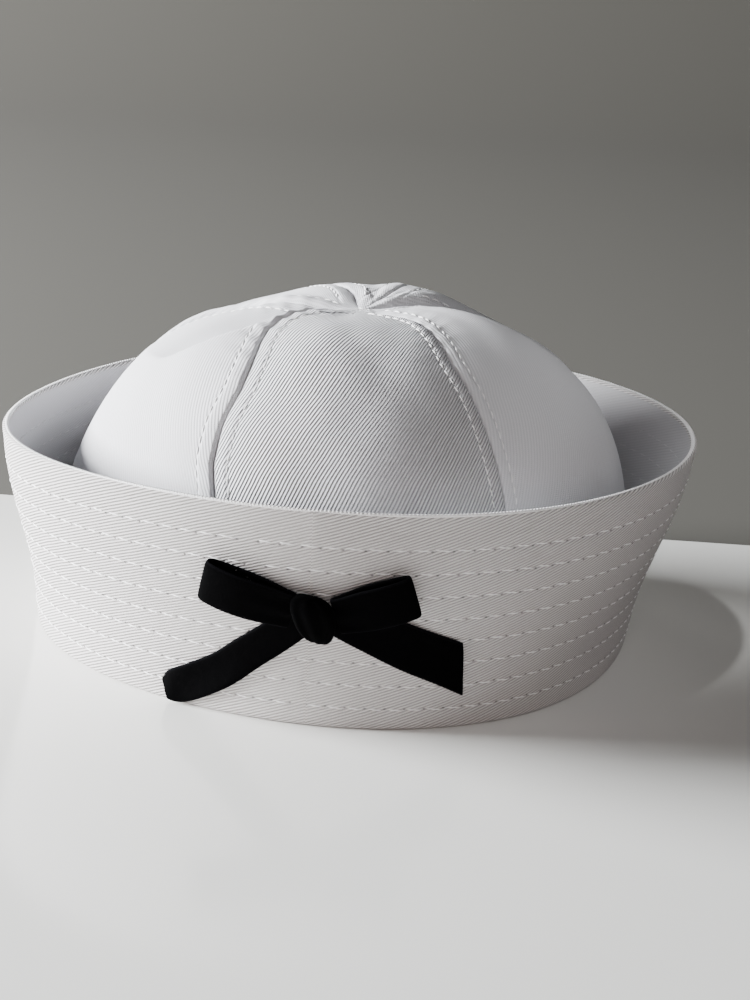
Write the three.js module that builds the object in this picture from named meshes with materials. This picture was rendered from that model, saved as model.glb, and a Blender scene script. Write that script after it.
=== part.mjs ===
import * as THREE from 'three';

// Sailor cap: a dome of six cloth panels that stands in a tall, flared brim, with a ribbon bow.
// Millimetres, +Z up. Azimuths are in degrees from the bow (-Y) towards +X.

// Head opening and cloth
const HEAD_RADIUS = 89.9;        // inside of the crown's wall, half of its width
const HEAD_STRETCH = 3.7;        // how much longer the opening's half length is than its half width
const CROWN_CLOTH = 1.4;
const BRIM_CLOTH = 2.0;
const SEAM_ROOM = 0.7;           // between the crown's wall and the brim at the foot
const PIECE_GAP = 0.35;          // between pieces that lie against each other

// Brim
const BRIM_HEIGHT = 68.3;
const RIM_RADIUS = 107.6;        // outside, half of the width
const RIM_STRETCH = 4.3;
const RIM_FORWARD = 4.75;        // the rim leans towards the bow
const RIM_SIDEWAYS = 1.25;
const FLARE_CURVE = 0.06;        // share of the flare by which its line swings in and out
const RIM_ROLL = 0.7;            // how far down the rounded upper edge starts
const FOLD_RADIUS = 1.0;         // rounded lower edge
const HEM_HEIGHT = 2.5;          // cloth folded under the crown
const HEM_LIP = 0.4;             // how far the hem reaches inside the crown's wall

// Crown
const CROWN_HEIGHT = 106.7;
const SIDE_POWER = 2.53;         // a superellipse from the foot to the top
const TOP_POWER = 2.93;
const TOP_DIMPLE = 4.5;
const DIMPLE_RADIUS = 22;
const LEAN_SIDEWAYS = 4.0;
const LEAN_BACK = 2.0;
const SEAM_SINK = 6.0;           // deepest valley at a seam
const DENT_DEPTH = 4.4;
const TOP_OPENING = 1.2;         // radius that the panels' tips leave free

// Bow, measured on the brim's outside from the knot's centre
const RIBBON_CLOTH = 1.2;
const RIBBON_WIDTH = 14.4;
const BOW_AZIMUTH = 1.1;
const BOW_SHARE = 0.543;         // of the brim's height
const KNOT_WIDTH = 12.0;
const KNOT_TALL = 16.0;
const KNOT_DEPTH = 6.6;
const LOOP_STAND = 5.6;          // between the middles of a loop's two layers
const LOOP_ROOT = 2.4;           // the same, where the loop leaves the knot
const LEFT_LOOP_LENGTH = 27.5;
const RIGHT_LOOP_LENGTH = 23.5;
const LEFT_LOOP_ANGLE = 167.5;   // anticlockwise from +X as the bow is seen from outside
const RIGHT_LOOP_ANGLE = 16;
const LEFT_TAIL_LENGTH = 60;
const RIGHT_TAIL_LENGTH = 47;

// Waves around the cap: how many, how high as a share of the size they bend, and where they crest
const FOOT_WAVES = [
  { count: 2, height: 0.0127, crest: 69.9 },
  { count: 3, height: 0.0303, crest: 13.8 },
  { count: 4, height: 0.0099, crest: 37.4 },
];
const RIM_WAVES = [
  { count: 2, height: 0.0040, crest: 13.2 },
  { count: 3, height: 0.0150, crest: -31.1 },
  { count: 4, height: 0.0136, crest: 22.3 },
];
const HEIGHT_WAVES = [
  { count: 1, height: 0.0129, crest: 56.4 },
  { count: 2, height: 0.0202, crest: -26.6 },
];

// Seams by their azimuths at the foot and at the top, with their sink as a share of SEAM_SINK.
// Each panel lies between its own seam and the next one.
const SEAMS = [
  { panel: 'back_left', foot: -148, top: -168, sink: 0.2 },
  { panel: 'front_left', foot: -95, top: -84, sink: 0.67 },
  { panel: 'front', foot: -28, top: -45, sink: 0.75 },
  { panel: 'front_right', foot: 37, top: 48, sink: 0.53 },
  { panel: 'back_right', foot: 104, top: 124, sink: 1.0 },
  { panel: 'back', foot: 160, top: 166, sink: 0.13 },
];
const SWAY_START = 0.58;         // shares of the way up between which a seam swings over
const SWAY_END = 0.9;

// Dents: azimuth, share of the way up, reach in degrees and in shares, depth as a share of DENT_DEPTH
const DENTS = [
  { azimuth: -118, up: 0.75, wide: 24, tall: 0.11, depth: 1.0 },
  { azimuth: 123, up: 0.71, wide: 18, tall: 0.11, depth: 1.0 },
  { azimuth: 152, up: 0.80, wide: 24, tall: 0.12, depth: -0.36 },
  { azimuth: -72, up: 0.72, wide: 14, tall: 0.08, depth: 0.57 },
];

// Tails: places as shares of the tail's length, width and cut as shares of RIBBON_WIDTH
const LEFT_TAIL = [
  { right: -0.075, up: -0.050, width: 0.70, cut: 0 },
  { right: -0.170, up: -0.125, width: 0.76, cut: 0 },
  { right: -0.353, up: -0.268, width: 0.78, cut: 0 },
  { right: -0.520, up: -0.397, width: 0.78, cut: 0 },
  { right: -0.712, up: -0.498, width: 0.78, cut: 0 },
  { right: -0.890, up: -0.567, width: 0.56, cut: 0 },
];
const RIGHT_TAIL = [
  { right: 0.100, up: 0.000, width: 0.80, cut: 0 },
  { right: 0.213, up: -0.038, width: 0.92, cut: 0 },
  { right: 0.426, up: -0.132, width: 1.00, cut: 0 },
  { right: 0.638, up: -0.230, width: 1.00, cut: 0 },
  { right: 0.851, up: -0.323, width: 1.00, cut: 0.2 },
  { right: 0.989, up: -0.385, width: 1.00, cut: 0.55 },
];

const BRIM_STEPS = 72;
const BRIM_ROWS = 7;
const PANEL_COLUMNS = 7;
const PANEL_ROWS = 12;
const PROFILE_STEPS = 240;
const LOOP_STEPS = 24;
const KNOT_STEPS = 8;
const KNOT_SIDES = 10;

const CROWN_RADIUS = HEAD_RADIUS + CROWN_CLOTH;
const FOOT_RADIUS = CROWN_RADIUS + SEAM_ROOM + BRIM_CLOTH;
const CROWN_FOOT = HEM_HEIGHT + PIECE_GAP;

const radians = THREE.MathUtils.degToRad;
const mix = THREE.MathUtils.lerp;

function waves(azimuth, table) {
  return table.reduce((sum, row) => sum + row.height * Math.cos(row.count * radians(azimuth - row.crest)), 0);
}

// A closed body from sections: point(i, j) walks around section i. A ring joins its last section
// to its first, and any other body ends in flat caps that join each point j to the one across.
function sweep(steps, sides, isRing, point) {
  const positions = [];
  for (let i = 0; i < steps; i += 1) {
    for (let j = 0; j < sides; j += 1) {
      positions.push(...point(i, j).toArray());
    }
  }
  const faces = [];
  const quad = (a, b, c, d) => faces.push(a, b, c, a, c, d);
  const bands = isRing ? steps : steps - 1;
  for (let i = 0; i < bands; i += 1) {
    const next = (i + 1) % steps;
    for (let j = 0; j < sides; j += 1) {
      const k = (j + 1) % sides;
      quad(i * sides + j, i * sides + k, next * sides + k, next * sides + j);
    }
  }
  if (!isRing) {
    const end = (steps - 1) * sides;
    for (let j = 0; j < sides / 2 - 1; j += 1) {
      const across = sides - 1 - j;
      quad(j, across, across - 1, j + 1);
      quad(end + j, end + j + 1, end + across - 1, end + across);
    }
  }
  return closedGeometry(positions, faces);
}

// Faces are turned round where the signed volume says that they point inwards.
function closedGeometry(positions, faces) {
  const corner = (index) => new THREE.Vector3().fromArray(positions, 3 * index);
  let volume = 0;
  for (let f = 0; f < faces.length; f += 3) {
    volume += corner(faces[f]).dot(corner(faces[f + 1]).cross(corner(faces[f + 2])));
  }
  const geometry = new THREE.BufferGeometry();
  geometry.setAttribute('position', new THREE.Float32BufferAttribute(positions, 3));
  geometry.setIndex(volume < 0 ? faces.reverse() : faces);
  geometry.computeVertexNormals();
  return geometry;
}

// Brim: its outer face, a share of the way up, moved inwards and lifted by lengths
function brimPoint(azimuth, share, inward, lift) {
  const height = BRIM_HEIGHT * (1 + waves(azimuth, HEIGHT_WAVES));
  const up = share + lift / height;
  const flare = up - FLARE_CURVE * Math.sin(2 * Math.PI * up);
  const foot = FOOT_RADIUS * (1 + waves(azimuth, FOOT_WAVES));
  const rim = RIM_RADIUS * (1 + waves(azimuth, RIM_WAVES));
  const radius = mix(foot, rim, flare) - inward;
  const stretch = mix(HEAD_STRETCH, RIM_STRETCH, flare);
  const turn = radians(azimuth);
  return new THREE.Vector3(
    RIM_SIDEWAYS * flare + radius * Math.sin(turn),
    -RIM_FORWARD * flare - (radius + stretch) * Math.cos(turn),
    up * height,
  );
}

// The brim's cross-section: up the outside, over the rim, down the inside, round the hem
function brimSection() {
  const hemDepth = FOOT_RADIUS - HEAD_RADIUS + HEM_LIP;
  const row = (inward, share, lift) => ({ inward, share, lift });
  const outside = [row(0, 0, FOLD_RADIUS)];
  const inside = [];
  for (let i = 1; i < BRIM_ROWS; i += 1) {
    outside.push(row(0, i / BRIM_ROWS, 0));
    inside.unshift(row(BRIM_CLOTH, i / BRIM_ROWS, 0));
  }
  return [
    ...outside,
    row(0, 1, -RIM_ROLL),
    row(BRIM_CLOTH / 2, 1, 0),
    row(BRIM_CLOTH, 1, -RIM_ROLL),
    ...inside,
    row(BRIM_CLOTH, 0, HEM_HEIGHT),
    row(hemDepth, 0, HEM_HEIGHT),
    row(hemDepth, 0, 0),
    row(FOLD_RADIUS, 0, 0),
    row(FOLD_RADIUS * 0.3, 0, FOLD_RADIUS * 0.3),
  ];
}

function brimGeometry() {
  const section = brimSection();
  return sweep(BRIM_STEPS, section.length, true, (i, j) => {
    const { inward, share, lift } = section[j];
    return brimPoint((360 * i) / BRIM_STEPS, share, inward, lift);
  });
}

// Crown's profile by its share of the way along the cloth, from the foot (0) to the top (1):
// (r / radius) ^ SIDE_POWER + (z / height) ^ TOP_POWER = 1, with the normal that points out
function crownProfile() {
  const height = CROWN_HEIGHT - CROWN_FOOT;
  const rows = [];
  let length = 0;
  for (let i = 0; i <= PROFILE_STEPS; i += 1) {
    const turn = (Math.PI / 2) * (i / PROFILE_STEPS);
    const across = Math.cos(turn) ** (2 / SIDE_POWER);
    const up = Math.sin(turn) ** (2 / TOP_POWER);
    if (i > 0) {
      const last = rows[i - 1];
      length += Math.hypot((across - last.across) * CROWN_RADIUS, (up - last.up) * height);
    }
    rows.push({ across: i < PROFILE_STEPS ? across : 0, up, length });
  }
  return rows;
}

const PROFILE = crownProfile();
const PROFILE_LENGTH = PROFILE[PROFILE_STEPS].length;

function profileAt(share) {
  const length = THREE.MathUtils.clamp(share, 0, 1) * PROFILE_LENGTH;
  let i = 1;
  while (i < PROFILE_STEPS && PROFILE[i].length < length) {
    i += 1;
  }
  const low = PROFILE[i - 1];
  const high = PROFILE[i];
  const part = (length - low.length) / (high.length - low.length);
  const run = (low.across - high.across) * CROWN_RADIUS;
  const rise = (high.up - low.up) * (CROWN_HEIGHT - CROWN_FOOT);
  return {
    across: mix(low.across, high.across, part),
    up: mix(low.up, high.up, part),
    normal: new THREE.Vector2(rise, run).normalize(),
  };
}

function seamAzimuth(index, share) {
  const seam = SEAMS[index % SEAMS.length];
  const swing = THREE.MathUtils.smoothstep(share, SWAY_START, SWAY_END);
  return mix(seam.foot, seam.top, swing) + 360 * Math.floor(index / SEAMS.length);
}

function dentDepth(azimuth, share) {
  return DENTS.reduce((sum, dent) => {
    const turn = THREE.MathUtils.euclideanModulo(azimuth - dent.azimuth + 180, 360) - 180;
    const reach = (turn / dent.wide) ** 2 + ((share - dent.up) / dent.tall) ** 2;
    return sum + dent.depth * DENT_DEPTH * Math.exp(-reach);
  }, 0);
}

// A panel is puffed: it arches between its seams, which sink below the plain dome.
function crownPoint(panel, part, share, depth) {
  const { across, up, normal } = profileAt(share);
  const start = seamAzimuth(panel, share);
  const end = seamAzimuth(panel + 1, share);
  const edge = THREE.MathUtils.radToDeg(PIECE_GAP / 2 / Math.max(across * CROWN_RADIUS, TOP_OPENING));
  const azimuth = mix(start + edge, end - edge, part);
  const arch = (4 * part * (1 - part)) ** 0.6;
  const firstSink = SEAMS[panel].sink;
  const lastSink = SEAMS[(panel + 1) % SEAMS.length].sink;
  const fade = (1 - (1 - share) ** 2) * (1 - share ** 12);
  const sink = SEAM_SINK * mix(firstSink, lastSink, part) * (1 - arch) * fade + dentDepth(azimuth, share) + depth;
  const wave = CROWN_RADIUS * waves(azimuth, FOOT_WAVES) * (1 - up) ** 1.5;
  const radius = Math.max(across * CROWN_RADIUS - sink * normal.x + wave, TOP_OPENING);
  const stretch = HEAD_STRETCH * across;
  const turn = radians(azimuth);
  const dimple = TOP_DIMPLE * Math.exp(-(((across * CROWN_RADIUS) / DIMPLE_RADIUS) ** 2));
  return new THREE.Vector3(
    LEAN_SIDEWAYS * Math.sin(0.75 * Math.PI * up ** 1.3) + radius * Math.sin(turn),
    LEAN_BACK * up ** 3 - (radius + stretch) * Math.cos(turn),
    CROWN_FOOT + (CROWN_HEIGHT - CROWN_FOOT) * up - sink * normal.y - dimple,
  );
}

// Each section of a panel runs along its outside from seam to seam and back along its inside.
function panelGeometry(panel) {
  const columns = PANEL_COLUMNS + 1;
  const topShare = 1 - TOP_OPENING / PROFILE_LENGTH;
  return sweep(PANEL_ROWS + 1, 2 * columns, false, (i, j) => {
    const isOutside = j < columns;
    const part = (isOutside ? j : 2 * columns - 1 - j) / PANEL_COLUMNS;
    return crownPoint(panel, part, (topShare * i) / PANEL_ROWS, isOutside ? 0 : CROWN_CLOTH);
  });
}

// Bow: a point to the right of and above the knot's centre, standing off the brim's outside
const BOW_CENTRE = brimPoint(BOW_AZIMUTH, BOW_SHARE, 0, 0);
const BOW_DISTANCE = Math.hypot(BOW_CENTRE.x, BOW_CENTRE.y);
const BOW_SLANT = brimPoint(BOW_AZIMUTH, 1, 0, 0).distanceTo(brimPoint(BOW_AZIMUTH, 0, 0, 0));

function bowPoint(right, up, off) {
  const azimuth = BOW_AZIMUTH + THREE.MathUtils.radToDeg(right / BOW_DISTANCE);
  const share = BOW_SHARE + up / BOW_SLANT;
  const point = brimPoint(azimuth, share, 0, 0);
  const sideways = brimPoint(azimuth + 1, share, 0, 0).sub(brimPoint(azimuth - 1, share, 0, 0));
  const upwards = brimPoint(azimuth, share + 0.02, 0, 0).sub(brimPoint(azimuth, share - 0.02, 0, 0));
  return point.addScaledVector(sideways.cross(upwards).normalize(), off);
}

// The tails lie on the brim, and the loops and the knot lie on the tails.
const TAIL_OFF = PIECE_GAP;
const UPPER_OFF = TAIL_OFF + RIBBON_CLOTH + PIECE_GAP;

function tailGeometry(table, length) {
  const centre = (row) => new THREE.Vector2(row.right * length, row.up * length);
  const corners = [[-1, 0], [-1, 1], [0, 1], [1, 1], [1, 0], [0, 0]];
  return sweep(table.length, corners.length, false, (i, j) => {
    const row = table[i];
    const before = centre(table[Math.max(i - 1, 0)]);
    const along = centre(table[Math.min(i + 1, table.length - 1)]).sub(before).normalize();
    const [side, layer] = corners[j];
    const width = (side * row.width * RIBBON_WIDTH) / 2;
    const cut = (side * row.cut * RIBBON_WIDTH) / 2;
    const place = centre(row);
    return bowPoint(
      place.x + along.y * width + along.x * cut,
      place.y - along.x * width + along.y * cut,
      TAIL_OFF + layer * RIBBON_CLOTH,
    );
  });
}

// A loop seen from its edge is a drop: two layers that leave the knot close together, spread
// and turn round at the tip. The ribbon is gathered at the knot and full width past its middle.
function loopGeometry(length, angle) {
  const turn = radians(angle);
  const slope = Math.abs(Math.sin(turn)) * RIBBON_WIDTH * 0.25;
  const start = (KNOT_WIDTH / 2 + PIECE_GAP + slope) / Math.abs(Math.cos(turn));
  const centreLine = (phase) => {
    const part = (1 - Math.cos(phase)) / 2;
    const stand = mix(LOOP_ROOT, LOOP_STAND, THREE.MathUtils.smoothstep(part, 0, 0.75)) / 2;
    const rise = Math.sin(phase);
    return new THREE.Vector2(
      start + RIBBON_CLOTH / 2 + length * part,
      UPPER_OFF + RIBBON_CLOTH / 2 + stand * (1 + Math.sign(rise) * Math.abs(rise) ** 0.6),
    );
  };
  const corners = [[-1, -1], [-1, 1], [0, 1], [1, 1], [1, -1], [0, -1]];
  return sweep(LOOP_STEPS, corners.length, true, (i, j) => {
    const phase = (2 * Math.PI * (i + 0.5)) / LOOP_STEPS;
    const place = centreLine(phase);
    const along = centreLine(phase + 0.05).sub(centreLine(phase - 0.05)).normalize();
    const [side, layer] = corners[j];
    const part = (1 - Math.cos(phase)) / 2;
    const width = RIBBON_WIDTH * mix(0.6, 1, THREE.MathUtils.smoothstep(part, 0, 0.6));
    const out = place.x + (layer * along.y * RIBBON_CLOTH) / 2;
    const off = place.y - (layer * along.x * RIBBON_CLOTH) / 2;
    const across = (side * width) / 2;
    return bowPoint(
      out * Math.cos(turn) - across * Math.sin(turn),
      out * Math.sin(turn) + across * Math.cos(turn),
      off,
    );
  });
}

// The knot is a rounded block, a little narrower below than above.
function knotGeometry() {
  return sweep(KNOT_STEPS + 1, KNOT_SIDES, false, (i, j) => {
    const rise = mix(-1, 1, i / KNOT_STEPS);
    const bulge = 0.55 + 0.45 * (1 - Math.abs(rise) ** 3);
    const turn = (2 * Math.PI * (j + 0.5)) / KNOT_SIDES;
    const across = Math.sign(Math.cos(turn)) * Math.abs(Math.cos(turn)) ** 0.6;
    const out = Math.sign(Math.sin(turn)) * Math.abs(Math.sin(turn)) ** 0.7;
    const width = (KNOT_WIDTH / 2) * mix(0.8, 1, i / KNOT_STEPS) * bulge;
    return bowPoint(
      width * across,
      (KNOT_TALL / 2) * rise,
      UPPER_OFF + (KNOT_DEPTH / 2) * (1 + bulge * out),
    );
  });
}

const cotton = () => new THREE.MeshStandardMaterial({ color: 0xe4e1e0, roughness: 0.9, metalness: 0 });
const velvet = () => new THREE.MeshStandardMaterial({ color: 0x08080a, roughness: 1, metalness: 0 });

function piece(name, geometry, material) {
  const mesh = new THREE.Mesh(geometry, material);
  mesh.name = name;
  return mesh;
}

const cap = new THREE.Group();
SEAMS.forEach((seam, panel) => cap.add(piece(`crown_panel_${seam.panel}`, panelGeometry(panel), cotton())));
cap.add(piece('brim', brimGeometry(), cotton()));
cap.add(piece('bow_knot', knotGeometry(), velvet()));
cap.add(piece('bow_loop_left', loopGeometry(LEFT_LOOP_LENGTH, LEFT_LOOP_ANGLE), velvet()));
cap.add(piece('bow_loop_right', loopGeometry(RIGHT_LOOP_LENGTH, RIGHT_LOOP_ANGLE), velvet()));
cap.add(piece('bow_tail_left', tailGeometry(LEFT_TAIL, LEFT_TAIL_LENGTH), velvet()));
cap.add(piece('bow_tail_right', tailGeometry(RIGHT_TAIL, RIGHT_TAIL_LENGTH), velvet()));

// The origin is under the middle of the whole cap.
const middle = new THREE.Box3().setFromObject(cap).getCenter(new THREE.Vector3());
cap.position.set(-middle.x, -middle.y, 0);
cap.updateMatrixWorld(true);

export default cap;
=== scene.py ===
import bpy
import numpy as np
from mathutils import Matrix, Vector


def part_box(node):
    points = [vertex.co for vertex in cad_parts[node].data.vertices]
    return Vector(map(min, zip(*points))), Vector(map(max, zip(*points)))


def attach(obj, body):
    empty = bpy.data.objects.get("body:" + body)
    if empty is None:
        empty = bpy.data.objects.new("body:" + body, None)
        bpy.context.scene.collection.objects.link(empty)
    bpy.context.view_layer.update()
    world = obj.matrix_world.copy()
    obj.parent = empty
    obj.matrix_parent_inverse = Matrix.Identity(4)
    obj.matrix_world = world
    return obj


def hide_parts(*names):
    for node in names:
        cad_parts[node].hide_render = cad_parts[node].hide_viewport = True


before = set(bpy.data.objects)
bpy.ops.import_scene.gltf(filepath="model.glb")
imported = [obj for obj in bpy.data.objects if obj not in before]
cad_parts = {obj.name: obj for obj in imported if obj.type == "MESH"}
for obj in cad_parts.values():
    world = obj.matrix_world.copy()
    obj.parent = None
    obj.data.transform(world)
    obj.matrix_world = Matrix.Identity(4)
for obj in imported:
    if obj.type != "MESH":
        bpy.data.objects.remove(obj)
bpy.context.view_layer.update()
print("frame loaded:", len(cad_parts), "nodes")

mm = 0.001
root = "root"

# the dictionaries give lengths in millimetres, azimuths in degrees from the bow (-Y) towards +X, and
# heights on the cloth as shares of the way up it; the frame and the stage are in metres

capShape = dict(
    headRadius=89.9, headStretch=3.7,         # inside of the crown's wall, half of its width
    crownCloth=1.4, brimCloth=2.0, seamRoom=0.7, pieceGap=0.35, hemHeight=2.5, hemLip=0.4,
)
crownRadius = capShape["headRadius"] + capShape["crownCloth"]
footRadius = crownRadius + capShape["seamRoom"] + capShape["brimCloth"]
crownFoot = capShape["hemHeight"] + capShape["pieceGap"]

# waves around the cap: how many, how high as a share of the size they bend, where they crest
footWaves = ((2, 0.0127, 69.9), (3, 0.0303, 13.8), (4, 0.0099, 37.4))
rimWaves = ((2, 0.0040, 13.2), (3, 0.0150, -31.1), (4, 0.0136, 22.3))
heightWaves = ((1, 0.0129, 56.4), (2, 0.0202, -26.6))


def waveSum(azimuth, rows):
    # sum of height * cos(count * (azimuth - crest))
    return sum(height * np.cos(count * np.radians(azimuth - crest)) for count, height, crest in rows)


def smooth(value, low, high):
    # 0 below low, 1 above high, an S between them; the two may be given the other way round
    part = np.clip((value - low) / (high - low), 0.0, 1.0)
    return part * part * (3.0 - 2.0 * part)


def stacked(*coordinates):
    # one array of points from arrays of their coordinates
    return np.stack(np.broadcast_arrays(*coordinates), -1)


def unit(vectors):
    # each divided by its length
    return vectors / np.linalg.norm(vectors, axis=-1, keepdims=True)


def softNoise(across, up, rows):
    # a few crossing sine waves: height * sin(across / reach) * sin(up / rise), each with its phase
    total = 0.0
    for height, reach, rise, phase in rows:
        total = total + height * np.sin(across / reach + phase) * np.sin(up / rise + 2.3 * phase)
    return total


def clothMesh(name, points, faces, corners):
    # a smooth mesh in metres, with the cloth's own map at its faces' corners
    mesh = bpy.data.meshes.new(name)
    mesh.from_pydata((points.reshape(-1, 3) * mm).tolist(), [], faces)
    layer = mesh.uv_layers.new(name="cloth")
    layer.data.foreach_set("uv", corners.astype(np.float32).ravel())
    mesh.polygons.foreach_set("use_smooth", np.ones(len(faces), bool))
    mesh.update()
    return mesh


def surfaceMesh(name, points, uv, closedAlong=False, closedAround=False, caps=False):
    # quads between the neighbours of a grid of points; uv has one more row or column where it closes
    rows, cols = points.shape[:2]
    along = np.arange(rows if closedAlong else rows - 1)
    around = np.arange(cols if closedAround else cols - 1)
    i, j = np.meshgrid(along, around, indexing="ij")
    ni, nj = (i + 1) % rows, (j + 1) % cols
    quads = np.stack([i * cols + j, i * cols + nj, ni * cols + nj, ni * cols + j], -1).reshape(-1, 4)
    corners = np.stack([uv[i, j], uv[i, j + 1], uv[i + 1, j + 1], uv[i + 1, j]], -2).reshape(-1, 2)
    faces = quads.tolist()
    if caps:
        faces.append(list(range(cols))[::-1])
        faces.append([(rows - 1) * cols + k for k in range(cols)])
        corners = np.concatenate([corners, uv[0, :cols][::-1], uv[rows - 1, :cols]])
    return clothMesh(name, points, faces, corners)


def turnOut(mesh):
    # a closed mesh whose signed volume is negative has its faces flipped
    n = len(mesh.vertices)
    points = np.empty(n * 3)
    mesh.vertices.foreach_get("co", points)
    points = points.reshape(-1, 3)
    mesh.calc_loop_triangles()
    tris = np.empty(len(mesh.loop_triangles) * 3, int)
    mesh.loop_triangles.foreach_get("vertices", tris)
    a, b, c = points[tris.reshape(-1, 3)].transpose(1, 0, 2)
    if np.einsum("ij,ij->", a, np.cross(b, c)) < 0:
        mesh.flip_normals()


def addPiece(name, mesh, material, replaces=None):
    # a piece rides the root and may replace one of the frame's nodes
    piece = bpy.data.objects.new(name, mesh)
    bpy.context.scene.collection.objects.link(piece)
    mesh.materials.append(material)
    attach(piece, root)
    if replaces:
        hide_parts(replaces)
    return piece


# cloth and thread

def nodeMaker(material):
    # short ways to add this material's nodes; an input may be a number, a colour or a socket
    nodes, links = material.node_tree.nodes, material.node_tree.links

    def make(kind, inputs=None, **settings):
        node = nodes.new(kind)
        for key, value in settings.items():
            setattr(node, key, value)
        for key, value in (inputs or {}).items():
            if isinstance(value, bpy.types.NodeSocket):
                links.new(value, node.inputs[key])
            else:
                node.inputs[key].default_value = value
        return node

    def noise(place, scale, detail=2.0):
        inputs = {"Vector": place, "Scale": scale, "Detail": detail}
        return make("ShaderNodeTexNoise", inputs).outputs["Fac"]

    def math(operation, *values):
        return make("ShaderNodeMath", dict(enumerate(values)), operation=operation).outputs[0]

    def mixColours(part, first, second):
        return make("ShaderNodeMix", {0: part, 6: first, 7: second}, data_type="RGBA").outputs[2]

    return make, noise, math, mixColours


def newMaterial(name, colour, roughness):
    material = bpy.data.materials.new(name)
    material.use_nodes = True
    shader = material.node_tree.nodes["Principled BSDF"]
    shader.inputs["Base Color"].default_value = (*colour, 1)
    shader.inputs["Roughness"].default_value = roughness
    material.diffuse_color = (*colour, 1)
    return material, shader


cottonLook = dict(
    roughness=0.9, sheen=0.05, yarnHeight=0.05, yarnSpacing=0.62, fuzzHeight=0.05,
    wander=0.35, wanderScale=90.0, fuzzScale=2600.0,
    ribRoundness=0.7, ribShade=0.8, fuzzShade=0.35, gloss=0.25,
    holeShadeColour=(0.05, 0.045, 0.045), holeShade=0.9, holeLong=0.62, holeHigh=0.42, holeDepth=0.5,
    dipDepth=0.22, dipSharpness=1.1,
)
# grooveShadeColour is painted shade in the grooves between the ribs, much darker on the front panel where
# the light grazes it
crownCloth = dict(
    # the crown's cool tint is painted light: the colour of skylight from above
    colour=(0.75, 0.75, 0.77), grooveShadeColour=(0.22, 0.22, 0.24),
    ribAngle=55.0, ribSpacing=0.93, ribHeight=0.46,
)
# the other panels: lower ribs, and the same cloth with its colour painted a little darker as shade
smoothShadedCloth = dict(crownCloth, colour=(0.71, 0.71, 0.735), grooveShadeColour=(0.58, 0.58, 0.605), ribHeight=0.08)
brimCloth = dict(
    # the brim's warm tint is painted light: the colour of warm light bounced up from the table
    colour=(0.755, 0.73, 0.725), grooveShadeColour=(0.25, 0.235, 0.23),
    ribAngle=21.0, ribSpacing=0.94, ribHeight=0.32,
)
# the inside of the brim is the same white cloth, its colour painted darker as the shade inside the brim
shadedLiningCloth = dict(brimCloth, colour=(0.53, 0.525, 0.54), grooveShadeColour=(0.48, 0.475, 0.49), ribHeight=0.04)
# the fold over the rim is the same cloth painted paler: a painted highlight along the rim's top
rimHighlightCloth = dict(brimCloth, colour=(0.95, 0.95, 0.95), grooveShadeColour=(0.88, 0.88, 0.88), ribHeight=0.02)
stitchRows = dict(                       # the brim's rows of stitches, also used for their holes
    count=8, first=0.096, step=0.107,    # shares of the way up
    pitch=6.0, stitch=4.6, thread=0.19, slope=0.4, stagger=0.37,
)
brimSlant = 72.0


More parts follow.
